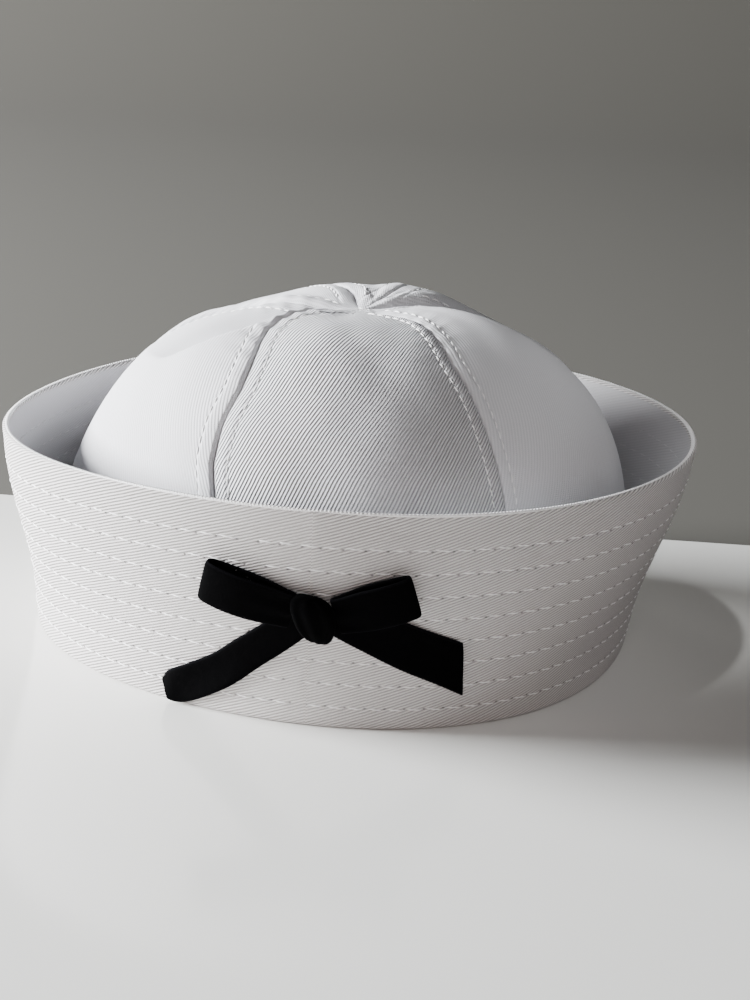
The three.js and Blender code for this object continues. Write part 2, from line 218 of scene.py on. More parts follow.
def cottonTwill(name, cloth, holes=False):
    # ribs: a sine across slanted lines of the cloth's own map; yarns: a finer one along each rib
    look = dict(cottonLook, **cloth)
    material, shader = newMaterial(name, look["colour"], look["roughness"])
    make, noise, math, mixColours = nodeMaker(material)
    links = material.node_tree.links
    clothMap = make("ShaderNodeUVMap", uv_map="cloth").outputs[0]
    place = make("ShaderNodeTexCoord").outputs["Object"]
    drift, fuzz = noise(place, look["wanderScale"]), noise(place, look["fuzzScale"])
    angle = np.radians(look["ribAngle"])
    across = make("ShaderNodeVectorMath", {0: clothMap, 1: (-np.sin(angle), np.cos(angle), 0)},
                  operation="DOT_PRODUCT").outputs["Value"]
    along = make("ShaderNodeVectorMath", {0: clothMap, 1: (np.cos(angle), np.sin(angle), 0)},
                 operation="DOT_PRODUCT").outputs["Value"]
    wander = math("MULTIPLY", math("SUBTRACT", drift, 0.5), look["wander"])
    ribPhase = math("MULTIPLY", math("ADD", across, wander), 2 * np.pi / look["ribSpacing"])
    rib = math("MULTIPLY_ADD", math("SINE", ribPhase), 0.5, 0.5)
    yarnRun = math("MULTIPLY", along, 2 * np.pi / look["yarnSpacing"])
    yarnPhase = math("ADD", yarnRun, math("MULTIPLY", ribPhase, 0.5))
    yarn = math("MULTIPLY_ADD", math("SINE", yarnPhase), 0.5, 0.5)
    swell = math("POWER", rib, look["ribRoundness"])
    height = math("MULTIPLY", yarn, look["yarnHeight"])
    height = math("ADD", math("MULTIPLY", swell, look["ribHeight"]), height)
    height = math("MULTIPLY_ADD", fuzz, look["fuzzHeight"], height)
    shade = math("MULTIPLY", fuzz, look["fuzzShade"])
    shade = math("ADD", math("MULTIPLY", swell, look["ribShade"]), shade)
    # painted shade: the grooves between the ribs, with the fuzz's random tone, are mixed towards
    # grooveShadeColour
    colour = mixColours(shade, (*look["grooveShadeColour"], 1), (*look["colour"], 1))
    if holes:
        # a hole is an ellipse between two stitches of a row, its near black colour painted shade, and a dip
        # follows the row
        rows = stitchRows
        parts = make("ShaderNodeSeparateXYZ", {0: clothMap}).outputs
        rowStep = rows["step"] * brimSlant
        rowNumber = math("DIVIDE", math("SUBTRACT", parts["Y"], rows["first"] * brimSlant), rowStep)
        row = math("ROUND", rowNumber)
        fromRow = math("MULTIPLY", math("SUBTRACT", rowNumber, row), rowStep)
        fromMiddle = math("ABSOLUTE", math("SUBTRACT", row, (rows["count"] - 1) / 2))
        inRows = math("LESS_THAN", fromMiddle, rows["count"] / 2)
        turns = math("MULTIPLY", row, rows["stagger"])
        turns = math("ADD", math("DIVIDE", parts["X"], rows["pitch"]), turns)
        toHole = math("MULTIPLY", math("SUBTRACT", turns, math("ROUND", turns)), rows["pitch"])
        reachAlong = math("POWER", math("DIVIDE", toHole, look["holeLong"]), 2.0)
        reachUp = math("POWER", math("DIVIDE", fromRow, look["holeHigh"]), 2.0)
        reach = math("POWER", math("ADD", reachAlong, reachUp), 0.5)
        hole = math("MULTIPLY", math("SUBTRACT", 1.0, math("SMOOTH_MIN", reach, 1.0, 0.3)), inRows)
        hole = math("MAXIMUM", hole, 0.0)
        narrow = math("MULTIPLY", math("POWER", fromRow, 2.0), -look["dipSharpness"])
        dip = math("MULTIPLY", math("POWER", 2.718, narrow), inRows)
        dip = math("MULTIPLY", dip, look["dipDepth"])
        lost = math("ADD", math("MULTIPLY", hole, look["holeDepth"]), dip)
        height = math("SUBTRACT", height, lost)
        # painted shade: the hole is mixed towards a near black
        colour = mixColours(math("MULTIPLY", hole, look["holeShade"]), colour, (*look["holeShadeColour"], 1))
    links.new(colour, shader.inputs["Base Color"])
    bump = make("ShaderNodeBump", {"Height": height, "Strength": 1.0, "Distance": mm})
    links.new(bump.outputs[0], shader.inputs["Normal"])
    shader.inputs["Sheen Weight"].default_value = look["sheen"]
    shader.inputs["Specular IOR Level"].default_value = look["gloss"]
    return material


def threadMaterial(name, colour):
    # plies: slanted bands around each stitch
    material, shader = newMaterial(name, colour, 0.7)
    make, _, math, _ = nodeMaker(material)
    threadMap = make("ShaderNodeUVMap", uv_map="cloth").outputs[0]
    parts = make("ShaderNodeSeparateXYZ", {0: threadMap}).outputs
    phase = math("ADD", math("MULTIPLY", parts["X"], 9.0), math("MULTIPLY", parts["Y"], 2 * np.pi))
    bump = make("ShaderNodeBump", {"Height": math("SINE", phase), "Strength": 0.5, "Distance": 0.1 * mm})
    material.node_tree.links.new(bump.outputs[0], shader.inputs["Normal"])
    return material


velvetLook = dict(colour=(0.0009, 0.0009, 0.0011), edgeSheenColour=(0.004, 0.004, 0.005), edge=6.7,
                  roughness=0.95, gloss=0.02, sheen=0.005, sheenRoughness=0.35, sheenTint=(0.75, 0.75, 0.8),
                  pile=0.12, pileScale=3200.0, brushed=0.2, brushScale=260.0)


def velvetMaterial():
    # pile: fine noise for its tips, a slow one for where it is brushed over; along the ribbon's edges,
    # from edge on in the ribbon's own map, a paler colour is painted sheen
    look = velvetLook
    material, shader = newMaterial("black velvet", look["colour"], look["roughness"])
    make, noise, math, mixColours = nodeMaker(material)
    links = material.node_tree.links
    place = make("ShaderNodeTexCoord").outputs["Object"]
    tips, brushed = noise(place, look["pileScale"], 3.0), noise(place, look["brushScale"])
    height = math("ADD", math("MULTIPLY", tips, look["pile"]), math("MULTIPLY", brushed, look["brushed"]))
    bump = make("ShaderNodeBump", {"Height": height, "Strength": 0.8, "Distance": mm})
    links.new(bump.outputs[0], shader.inputs["Normal"])
    ribbonMap = make("ShaderNodeUVMap", uv_map="cloth").outputs[0]
    across = make("ShaderNodeSeparateXYZ", {0: ribbonMap}).outputs["Y"]
    # painted sheen: a paler colour along the ribbon's edges, speckled by the pile's tips
    paintedEdgeSheen = math("MULTIPLY", math("GREATER_THAN", math("ABSOLUTE", across), look["edge"]), tips)
    colour = mixColours(paintedEdgeSheen, (*look["colour"], 1), (*look["edgeSheenColour"], 1))
    links.new(colour, shader.inputs["Base Color"])
    shader.inputs["Specular IOR Level"].default_value = look["gloss"]
    shader.inputs["Sheen Weight"].default_value = look["sheen"]
    shader.inputs["Sheen Roughness"].default_value = look["sheenRoughness"]
    shader.inputs["Sheen Tint"].default_value = (*look["sheenTint"], 1)
    return material


crownCotton = cottonTwill("white cotton twill of the front panel", crownCloth)
smoothShadedCotton = cottonTwill("white cotton twill of the other panels", smoothShadedCloth)
brimCotton = cottonTwill("white cotton twill of the brim", brimCloth, holes=True)
shadedLiningCotton = cottonTwill("white cotton twill inside the brim", shadedLiningCloth)
rimHighlightCotton = cottonTwill("white cotton twill at the rim", rimHighlightCloth)
whiteThread = threadMaterial("white cotton thread", (0.96, 0.96, 0.96))
# the thread inside the brim is the same white thread, painted darker as shade
shadedLiningThread = threadMaterial("thread inside the brim", (0.55, 0.54, 0.55))
blackVelvet = velvetMaterial()
print("materials made")

# brim

brimShape = dict(
    height=68.3, rimRadius=107.6, rimStretch=4.3, rimForward=4.75, rimSideways=1.25,
    flareCurve=0.06, quiltHeight=0.20, hemBevel=0.6, columns=480, wallRows=72, innerRows=48, rollRows=10,
    soft=((0.5, 31.0, 23.0, 0.4), (0.25, 17.0, 14.0, 1.9)),      # softNoise: height, reach, rise, phase
    arcRadius=102.0,                # the cloth's length around the brim, for each radian
)


def brimPoint(azimuth, share, inward=0.0, lift=0.0):
    # radius goes from the foot's to the rim's along a line that swings in and out by a sine,
    # both with waves around them; height is the share of a height that waves too
    shape = brimShape
    height = shape["height"] * (1 + waveSum(azimuth, heightWaves))
    up = share + lift / height
    flare = up - shape["flareCurve"] * np.sin(2 * np.pi * up)
    foot = footRadius * (1 + waveSum(azimuth, footWaves))
    rim = shape["rimRadius"] * (1 + waveSum(azimuth, rimWaves))
    radius = foot + (rim - foot) * flare - inward
    stretch = capShape["headStretch"] + (shape["rimStretch"] - capShape["headStretch"]) * flare
    turn = np.radians(azimuth)
    x = shape["rimSideways"] * flare + radius * np.sin(turn)
    y = -shape["rimForward"] * flare - (radius + stretch) * np.cos(turn)
    return stacked(x, y, up * height)


def brimArc(azimuth):
    # radians times the cloth's length for each
    return np.radians(azimuth) * brimShape["arcRadius"]


# where the frame put the cap: the rim of the same shape against the frame's own brim
frameRim = brimPoint(np.arange(0, 360, 5.0), 1.0, 0.0, -0.7)
frameBrim = [np.array(corner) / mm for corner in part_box("brim")]
capShift = (frameBrim[0] + frameBrim[1]) / 2 - (frameRim.min(0) + frameRim.max(0)) / 2
capShift[2] = 0.0
print("cap shift in mm:", np.round(capShift, 2).tolist())


def quilt(share):
    # the cloth swells between its rows of stitches: the square root of a sine from row to row
    rows = stitchRows
    phase = (share - rows["first"]) / rows["step"]
    inRows = smooth(phase, -1.0, -0.2) * smooth(phase, rows["count"], rows["count"] - 0.8)
    return brimShape["quiltHeight"] * np.sqrt(np.abs(np.sin(np.pi * phase))) * inRows


def brimSection():
    # rows of inward, share, lift and side: up the outside, over the rim in a half circle,
    # down the inside and round the hem
    shape, cloth = brimShape, capShape["brimCloth"]
    hem, hemHigh = footRadius - capShape["headRadius"] + capShape["hemLip"], capShape["hemHeight"]
    rows = [(1 - np.sin(turn), 0.0, 1 - np.cos(turn), 0) for turn in np.linspace(0, np.pi / 2, 5)]
    up = np.linspace(0.03, 1 - 1.0 / shape["height"], shape["wallRows"])
    rows += [(0.0, share, 0.0, 1) for share in up]
    for turn in np.linspace(0, np.pi, shape["rollRows"])[1:-1]:
        rows.append((cloth / 2 * (1 - np.cos(turn)), up[-1], cloth / 2 * np.sin(turn), 0))
    down = np.linspace(up[-1], 0.045, shape["innerRows"])
    rows += [(cloth, share, 0.0, -1) for share in down]
    bevel = shape["hemBevel"]
    rows += [(inward, 0.0, hemHigh, 0) for inward in (cloth + 0.1, (cloth + hem) / 2, hem - bevel)]
    rows += [(hem, 0.0, hemHigh - bevel, 0), (hem, 0.0, bevel, 0)]
    rows += [(hem - bevel, 0.0, 0.0, 0), (hem / 2 + 0.5, 0.0, 0.0, 0)]
    return np.array(rows)


def brimSoft(azimuth, share):
    # how far the slack cloth of the wall stands out, nothing at its foot
    return softNoise(brimArc(azimuth), share * brimSlant, brimShape["soft"]) * smooth(share, 0.0, 0.25)


def buildBrim():
    # the section carried around the cap, swollen by its softness and its quilting
    shape = brimShape
    section = brimSection()
    azimuth = np.arange(shape["columns"]) * 360.0 / shape["columns"]
    a, (inward, share, lift, side) = azimuth[:, None], section.T[:, None, :]
    swell = np.where(side != 0, quilt(share), 0.0) * np.abs(side)
    points = brimPoint(a, share, inward - brimSoft(a, share) - side * swell, lift) + capShift
    # the map runs up the section's own length, its wall's middle at half of the slant
    steps = np.linalg.norm(np.diff(brimPoint(0.0, share[0], inward[0], lift[0]), axis=0), axis=-1)
    slant = np.concatenate([[0.0], np.cumsum(steps)])
    wall = slice(5, 5 + shape["wallRows"])
    slant = slant - np.interp(0.5, section[wall, 1], slant[wall]) + 0.5 * brimSlant
    uv = stacked(brimArc(np.append(azimuth, 360.0))[:, None], np.append(slant, slant[-1] + 1.0))
    mesh = surfaceMesh("brim_cloth", points, uv, closedAlong=True, closedAround=True)
    turnOut(mesh)
    addPiece("brim_cloth", mesh, brimCotton, "brim")
    # the inside of the wall takes the cloth painted darker as shade
    mesh.materials.append(shadedLiningCotton)
    shadedInsideFaces = np.tile(section[:, 3] < 0, shape["columns"])
    mesh.polygons.foreach_set("material_index", shadedInsideFaces.astype(np.int32))


def stitchMesh(name, starts, ends, ups, thickness, sink, sides=6):
    # each stitch is a short tube from start to end whose middle stands out: its height follows
    # a half sine and its thickness the root of one, so both ends dive into the cloth
    part = np.linspace(0, 1, 6)
    turn = np.arange(sides) * 2 * np.pi / sides
    along = ends - starts
    length = np.linalg.norm(along, axis=1, keepdims=True)
    along = along / length
    across = np.cross(along, ups)
    radius = thickness / 2 * np.clip(np.sin(np.pi * part), 0.0, 1.0) ** 0.35
    radius[[0, -1]] = thickness * 0.12
    lift = thickness * 0.45 * np.sin(np.pi * part) - sink
    line = starts[:, None] + along[:, None] * (length * part)[..., None] + ups[:, None] * lift[:, None]
    ring = across[:, None, None] * np.cos(turn)[:, None] + ups[:, None, None] * np.sin(turn)[:, None]
    points = line[:, :, None] + ring * radius[:, None, None]
    count, rows = len(starts), len(part)
    s, i, j = np.meshgrid(np.arange(count), np.arange(rows - 1), np.arange(sides), indexing="ij")
    low, nj = (s * rows + i) * sides, (j + 1) % sides
    high = low + sides
    quads = np.stack([low + j, low + nj, high + nj, high + j], -1).reshape(-1, 4)
    caps = np.arange(count)[:, None] * rows * sides + np.arange(sides)
    faces = quads.tolist() + caps[:, ::-1].tolist() + (caps + (rows - 1) * sides).tolist()
    quadUv = np.stack([np.stack([part[i] * 4.0, j / sides], -1)] * 4, -2).reshape(-1, 2)
    mesh = clothMesh(name, points, faces, np.concatenate([quadUv, np.zeros((2 * count * sides, 2))]))
    turnOut(mesh)
    return mesh


def brimSurface(azimuth, share, off=0.0, inside=False):
    # the finished outside or inside of the wall, swollen by its quilting, moved out by off
    side, cloth = (-1.0, capShape["brimCloth"]) if inside else (1.0, 0.0)
    inward = cloth - brimSoft(np.mod(azimuth, 360.0), share) - side * (quilt(share) + off)
    return brimPoint(azimuth, share, inward) + capShift


def buildBrimStitches():
    # rows on both faces of the wall
    rows = stitchRows
    rng = np.random.default_rng(7)
    perTurn = brimArc(360.0) / rows["pitch"]
    row, number = np.meshgrid(np.arange(rows["count"]), np.arange(int(perTurn)), indexing="ij")
    row, number = row.ravel(), number.ravel()
    share = rows["first"] + rows["step"] * row
    # a hole lies where arc / pitch + stagger * row is a whole number, a stitch between two holes
    middle = (number + 0.5 - rows["stagger"] * row) * rows["pitch"]
    half = rows["stitch"] / 2 + rng.normal(0, 0.12, len(row))
    wobble = rng.normal(0, 0.0012, (2, len(row))) + rows["slope"] / 2 / brimSlant * np.array([[1], [-1]])
    first, last = (np.degrees((middle + end) / brimShape["arcRadius"]) for end in (-half, half))
    between = (first + last) / 2
    # inside the wall the stitches take the thread painted darker as shade
    for name, inside, thread, sink in (
        ("brim_stitches", False, whiteThread, 0.05),
        ("brim_stitches_inside", True, shadedLiningThread, 0.10),
    ):
        starts = brimSurface(first, share + wobble[0], 0.0, inside)
        ends = brimSurface(last, share + wobble[1], 0.0, inside)
        outward = unit(brimSurface(between, share, 1.0, inside) - brimSurface(between, share, 0.0, inside))
        mesh = stitchMesh(name, starts, ends, outward, 2 * rows["thread"], sink)
        addPiece(name, mesh, thread)


rimEdge = dict(beadHeight=0.18, beadSlant=62.0, standOut=0.04, start=50.0, end=135.0, columns=4800)


def buildRimEdge():
    # the top of the fold over the rim: part of a circle, its ribs as beads,
    # height * (1 + sin(rib phase)) / 2, and a hidden side inside the wall that closes it
    look, half = rimEdge, capShape["brimCloth"] / 2
    azimuth = np.arange(look["columns"]) * 360.0 / look["columns"]
    a = azimuth[:, None]
    turn = np.radians(np.linspace(look["start"], look["end"], 8))
    normal = np.stack([np.cos(turn), np.sin(turn)], -1)
    outer = half * normal
    run = half * (turn - turn[0])
    angle = np.radians(look["beadSlant"])
    phase = run[None, :] * np.cos(angle) - brimArc(a) * np.sin(angle)
    phase = 2 * np.pi * phase / brimCloth["ribSpacing"]
    ends = np.array([-0.5, 0.5] + [1.0] * (len(outer) - 4) + [0.5, -0.5])
    raised = ends * (look["standOut"] + look["beadHeight"] * (1 + np.sin(phase)) / 2)
    hidden = [np.tile(row, (len(a), 1)) for row in ((-0.5, 0.5), (-0.2, -0.2))]
    out, high = (np.append(outer[:, k] + normal[:, k] * raised, hidden[k], axis=1) for k in (0, 1))
    top = 1 - 1.0 / brimShape["height"]
    points = brimPoint(a, top, half - out, high) + capShift
    along = np.append(run + brimSlant, [brimSlant] * 3)
    uv = stacked(brimArc(np.append(azimuth, 360.0))[:, None], along)
    mesh = surfaceMesh("rim_edge", points, uv, closedAlong=True, closedAround=True)
    turnOut(mesh)
    # the fold takes the cloth painted paler, a painted highlight
    addPiece("rim_edge", mesh, rimHighlightCotton)


buildBrim()
buildRimEdge()
buildBrimStitches()
print("brim and its rows of stitches made")

# crown

crownShape = dict(
    height=106.7, sidePower=2.53, topPower=2.93, topDimple=4.5, dimpleRadius=22.0,
    leanSideways=4.0, leanBack=2.0, seamSink=6.0, dentDepth=4.4, topOpening=0.25,
    grainBend=0.16, columns=130, rows=170,
    soft=((0.35, 14.0, 19.0, 0.7), (0.25, 9.0, 12.0, 2.1), (0.10, 4.3, 6.1, 4.0)),
)
# each seam lies at the start of its panel: its path as rows of height and azimuth, its sink as a
# share of seamSink, the groove where its two edges meet, and for the edge left and right of it
# how far it stands out, the width over which it rolls down and how far its swelling reaches;
# the sink ends at sinkEnd, the stitches run beside the seam at topstitch as high as stitched, and
# grain turns the panel's twill
seams = (
    dict(panel="back_left", grain=70,
         path=((0, -148), (0.58, -148), (0.74, -158), (0.9, -168), (1, -168)),
         sink=0.2, sinkEnd=1.1, groove=0.5, left=(0.2, 1, 5), right=(0.2, 1, 5),
         ripple=0.10, topstitch=5.8, stitched=0.93),
    dict(panel="front_left", grain=69,
         path=((0, -94), (0.4, -96), (0.5, -100), (0.58, -104), (0.66, -107), (0.76, -108),
               (0.86, -103), (0.94, -96), (1, -92)),
         sink=0.36, sinkEnd=0.84, groove=0.9, left=(0.6, 1, 8), right=(-0.1, 0.9, 5),
         ripple=0.15, topstitch=5.8, stitched=0.965),
    dict(panel="front", grain=0,
         path=((0, -24), (0.36, -25), (0.42, -28), (0.5, -29.6), (0.58, -29.8), (0.62, -31.2),
               (0.66, -33.2), (0.70, -36.4), (0.76, -42.5), (0.82, -48), (0.89, -52), (1, -54)),
         sink=0.55, sinkEnd=0.92, groove=0.75, left=(0.35, 1, 6), right=(-0.3, 1.1, 6),
         ripple=0.30, topstitch=5.6, stitched=0.91),
    dict(panel="front_right", grain=0,
         path=((0, 37), (0.5, 36), (0.67, 36.6), (0.71, 38.4), (0.77, 42), (0.82, 46), (0.86, 50),
               (0.90, 52), (1, 54)),
         sink=0.36, sinkEnd=1.1, groove=0.35, left=(0.3, 0.8, 4), right=(0.2, 0.8, 5),
         ripple=0.13, topstitch=4.1, stitched=0.965),
    dict(panel="back_right", grain=-5,
         path=((0, 104), (0.58, 104), (0.74, 114), (0.9, 124), (1, 124)),
         sink=1.0, sinkEnd=1.1, groove=0.6, left=(0.4, 1.2, 5), right=(0, 1, 5),
         ripple=0.12, topstitch=5.8, stitched=0.85),
    dict(panel="back", grain=119,
         path=((0, 160), (0.58, 160), (0.74, 161), (0.9, 154), (1, 154)),
         sink=0.13, sinkEnd=1.1, groove=0.5, left=(0.1, 1, 5), right=(0.1, 1, 5),
         ripple=0.10, topstitch=5.8, stitched=0.85),
)
# dents: azimuth, share of the way up, reach in degrees and in shares, depth as a share of dentDepth
dents = ((-118, 0.75, 24, 0.11, 0.75), (123, 0.71, 18, 0.11, 1.0), (152, 0.80, 24, 0.12, -0.36),
         (-76, 0.78, 13, 0.07, 0.25))
# the front left panel is folded along a line from its front seam down to the left, the cloth
# above the line lying flatter
fold = dict(
    path=((-100, 0.55), (-80, 0.56), (-66, 0.575), (-63, 0.59), (-59, 0.623), (-56.5, 0.648), (-55, 0.674),
          (-51.5, 0.716), (-50, 0.76), (-47, 0.80)),
    depth=9.0, run=0.12, seamRoll=3.5, atSeam=0.15,
)
seamCloth = dict(allowanceLift=0.3, stitchDip=0.45, stitchReach=0.65,
                 ripplePitch=7.5, rippleReach=9.0, footFade=0.2, apexFade=16.0)


def crownProfile():
    # (r / radius) ^ sidePower + (z / height) ^ topPower = 1, as evenly spaced steps of its length
    shape = crownShape
    high = shape["height"] - crownFoot
    turn = np.linspace(0, np.pi / 2, 2001)
    across = np.cos(turn) ** (2 / shape["sidePower"])
    across[-1] = 0.0
    up = np.sin(turn) ** (2 / shape["topPower"])
    steps = np.hypot(np.diff(across) * crownRadius, np.diff(up) * high)
    length = np.concatenate([[0.0], np.cumsum(steps)])
    even = np.linspace(0, length[-1], 721)
    across, up = np.interp(even, length, across), np.interp(even, length, up)
    run, rise = -np.gradient(across * crownRadius, even), np.gradient(up * high, even)
    size = np.hypot(run, rise)
    return length[-1], even / length[-1], across, up, rise / size, run / size


profileLength, profileShare, profileAcross, profileUp, profileOut, profileTop = crownProfile()


def rounded(rows):
    # a path through the rows, its corners rounded by the mean of each value with its neighbours
    heights, azimuths = np.array(rows, float).T
    path = np.interp(profileShare, heights, azimuths)
    padded = np.pad(path, 12, mode="edge")
    return np.convolve(padded, np.hanning(25) / np.hanning(25).sum(), mode="valid")


seamPaths = [rounded(seam["path"]) for seam in seams]


def seamAzimuth(index, share):
    # the seam's rounded path, a full turn further on for each time round the panels
    return np.interp(share, profileShare, seamPaths[index % len(seams)]) + 360 * (index // len(seams))


def seamRelief(distance, share, seam, edge):
    # d = distance from the seam: lift * exp(-(d / reach)^2), rolling down in a quarter circle to the
    # groove, plus the allowance's low step, a dip along the topstitching and puckers across the seam
    cloth = seamCloth
    lift, roll, reach = seam[edge]
    along = share * profileLength
    slack = (1 - 0.65 * smooth(share, 0.80, 0.94)) * (1 + 0.3 * np.sin(along / 5.2 + 1.0))
    lift, groove = lift * slack, seam["groove"] * slack
    swell = lift * np.exp(-((distance / reach) ** 2))
    near = np.clip(1 - distance / roll, 0, 1)
    drop = (lift + groove) * (1 - np.sqrt(1 - near ** 2))
    fromStitches = distance - seam["topstitch"]
    allowance = cloth["allowanceLift"] * smooth(fromStitches, 1.4, 0.0) * (1 - near)
    dip = cloth["stitchDip"] * np.exp(-((fromStitches / cloth["stitchReach"]) ** 2))
    phase = 1.1 if edge == "left" else 0.2
    wave = np.sin(2 * np.pi * along / cloth["ripplePitch"] + phase + 0.8 * np.sin(along / 11.0))
    ripple = seam["ripple"] * wave * np.exp(-((distance / cloth["rippleReach"]) ** 2))
    ripple = ripple * (1 - near) * (0.5 + 0.5 * np.sin(along / 17.0))
    return (swell - drop + allowance - dip + ripple) * smooth(share, 0.0, cloth["footFade"])


def foldDrop(azimuth, share):
    # depth * (1 - exp(-d / run)) at d above the fold's line, none at the panel's front seam
    turn = np.mod(azimuth + 180, 360) - 180
    over = share - np.interp(turn, *np.array(fold["path"]).T)
    depth = fold["depth"] * (fold["atSeam"] + (1 - fold["atSeam"]) * smooth(turn, -104.0, -58.0))
    drop = 1 - np.exp(-np.maximum(over, 0.0) / fold["run"])
    return depth * drop * smooth(turn, -40.0, -47.0) * smooth(share, 1.0, 0.9)


def crownSurface(panel, part, share, off=0.0):
    # the dome, less the panel's sink, its dents and its relief, all measured along the profile's normal
    shape = crownShape
    profile = profileAcross, profileUp, profileOut, profileTop
    across, up, out, top = (np.interp(share, profileShare, values) for values in profile)
    start, end = seamAzimuth(panel, share), seamAzimuth(panel + 1, share)
    azimuth = start + (end - start) * part
    width = np.radians(end - start) * across * crownRadius
    arch = np.clip(4 * part * (1 - part), 0, 1) ** 0.6
    seam, following = seams[panel], seams[(panel + 1) % len(seams)]
    fade = (1 - (1 - share) ** 2) * (1 - share ** 12)
    here, there = (
        edge["sink"] * smooth(share, edge["sinkEnd"], edge["sinkEnd"] - 0.25) for edge in (seam, following))
    sink = shape["seamSink"] * (here + (there - here) * part) * (1 - arch) * fade
    for towards, at, wide, tall, depth in dents:
        turn = np.mod(azimuth - towards + 180, 360) - 180
        bell = np.exp(-((turn / wide) ** 2) - ((share - at) / tall) ** 2)
        sink = sink + depth * shape["dentDepth"] * bell
    fromStart, fromEnd = part * width, (1 - part) * width
    if seam["panel"] == "front_left":
        sink = sink + foldDrop(azimuth, share) * smooth(fromEnd, 0.0, 7.0)
    if following["panel"] == "front_left":
        sink = sink + foldDrop(end, share) * smooth(fromEnd, fold["seamRoll"], 0.0) ** 2
    relief = seamRelief(fromStart, share, seam, "right") + seamRelief(fromEnd, share, following, "left")
    relief = relief * smooth(across * crownRadius, 2.0, seamCloth["apexFade"])
    soft = softNoise(part * 100.0 + 37 * panel, share * profileLength, shape["soft"])
    sink = sink - (relief + soft * arch * smooth(share, 1.0, 0.85)) - off
    wave = crownRadius * waveSum(azimuth, footWaves) * (1 - up) ** 1.5
    radius = np.maximum(across * crownRadius - sink * out + wave, shape["topOpening"])
    turn = np.radians(azimuth)
    dimple = shape["topDimple"] * np.exp(-((across * crownRadius / shape["dimpleRadius"]) ** 2))
    x = shape["leanSideways"] * np.sin(0.75 * np.pi * up ** 1.3) + radius * np.sin(turn)
    y = shape["leanBack"] * up ** 3 - (radius + capShape["headStretch"] * across) * np.cos(turn)
    z = crownFoot + (shape["height"] - crownFoot) * up - sink * top - dimple
    return stacked(x, y, z) + capShift


def panelWidth(panel, share):
    # the angle between its two seams times the profile's radius
    across = np.interp(share, profileShare, profileAcross) * crownRadius
    return np.radians(seamAzimuth(panel + 1, share) - seamAzimuth(panel, share)) * across


def buildPanel(panel):
    # the cloth's outside and its map, turned by the grain; a modifier adds its thickness
    shape = crownShape
    step = np.linspace(0, 1, shape["columns"])
    part = step - 0.8 * np.sin(2 * np.pi * step) / (2 * np.pi)      # closer together near the seams
    share = np.linspace(0, 1 - shape["topOpening"] / profileLength, shape["rows"])
    p, s = part[None, :], share[:, None]
    name, grain = seams[panel]["panel"], np.radians(seams[panel]["grain"])
    u, v = (p - 0.5) * panelWidth(panel, s), (s - shape["grainBend"] * s ** 3) * profileLength
    uv = stacked(u * np.cos(grain) + v * np.sin(grain), v * np.cos(grain) - u * np.sin(grain))
    mesh = surfaceMesh("panel_cloth_" + name, crownSurface(panel, p, s), uv)
    cotton = crownCotton if name == "front" else smoothShadedCotton
    piece = addPiece("panel_cloth_" + name, mesh, cotton, "crown_panel_" + name)
    wall = piece.modifiers.new("cloth wall", "SOLIDIFY")
    wall.thickness = capShape["crownCloth"] * mm
    wall.offset = -1.0
    wall.use_even_offset = False


topStitches = dict(pitch=3.4, stitch=2.6, thread=0.23, slope=0.15, first=0.03, widest=0.33, sink=-0.04)
apexTuft = dict(threads=11, reach=2.6, lift=0.5, thread=0.13, sink=-0.1)


def buildTopstitches():
    # on each side of each seam, a line of stitches at the topstitching's distance, or at the share
    # widest of the panel's width where that is less
    look = topStitches
    rng = np.random.default_rng(11)
    starts, ends, ups = [], [], []
    for panel in range(len(seams)):
        for edge in ("right", "left"):
            seam = seams[panel if edge == "right" else (panel + 1) % len(seams)]
            count = int((seam["stitched"] - look["first"]) * profileLength / look["pitch"])
            share = look["first"] + (np.arange(count) + 0.5) * look["pitch"] / profileLength
            half = look["stitch"] / 2 / profileLength + rng.normal(0, 0.0006, count)

            def at(value, off=0.0, aside=0.0):
                width = panelWidth(panel, value)
                part = (np.minimum(seam["topstitch"], width * look["widest"]) + aside) / width
                return crownSurface(panel, 1 - part if edge == "left" else part, value, off)

            outward = at(share, 1.0) - at(share)
            starts.append(at(share - half, 0.0, -look["slope"]))
            ends.append(at(share + half, 0.0, look["slope"]))
            ups.append(unit(outward))
    lines = map(np.concatenate, (starts, ends, ups))
    mesh = stitchMesh("crown_stitches", *lines, 2 * look["thread"], look["sink"])
    addPiece("crown_stitches", mesh, whiteThread)


def buildApexTuft():
    # short ends of thread lying over the point where the panels meet
    look = apexTuft
    rng = np.random.default_rng(3)
    apex = crownSurface(2, 0.5, 0.99)
    turn = rng.uniform(0, 2 * np.pi, look["threads"])
    offset = rng.uniform(-1.2, 1.8, (look["threads"], 2))
    raised = rng.uniform(0.1, look["lift"], len(turn))
    middle = apex + stacked(offset[:, 0] + 1.2, offset[:, 1], raised)
    half = look["reach"] / 2 * rng.uniform(0.5, 1.0, len(turn))
    aim = stacked(half * np.cos(turn), half * np.sin(turn), 0.0)
    ups = np.tile([0.0, 0.0, 1.0], (len(turn), 1))
    mesh = stitchMesh("apex_tuft", middle - aim, middle + aim, ups, 2 * look["thread"], look["sink"])
    addPiece("apex_tuft", mesh, whiteThread)


for panelNumber in range(len(seams)):
    buildPanel(panelNumber)
buildTopstitches()
buildApexTuft()
print("crown made")

# bow

bowShape = dict(azimuth=1.1, share=0.543, cloth=1.2, width=14.4, gap=0.35, pleat=0.4, loose=0.3)
knotShape = dict(width=12.4, tall=15.0, depth=6.4, slant=1.3, tilt=1.3, widen=0.16, up=1.2, pleat=0.35)
# loops: how far the ribbon reaches beyond the knot, the way it points, how far below the knot's
# middle its own middle starts, and how far its two layers stand apart at the tip and at the knot
loops = dict(
    left=dict(length=27.2, angle=164.0, drop=-0.7, stand=4.2, root=2.2, width=0.89),
    right=dict(length=22.6, angle=19.5, drop=0.2, stand=3.2, root=2.0, width=0.92),
)
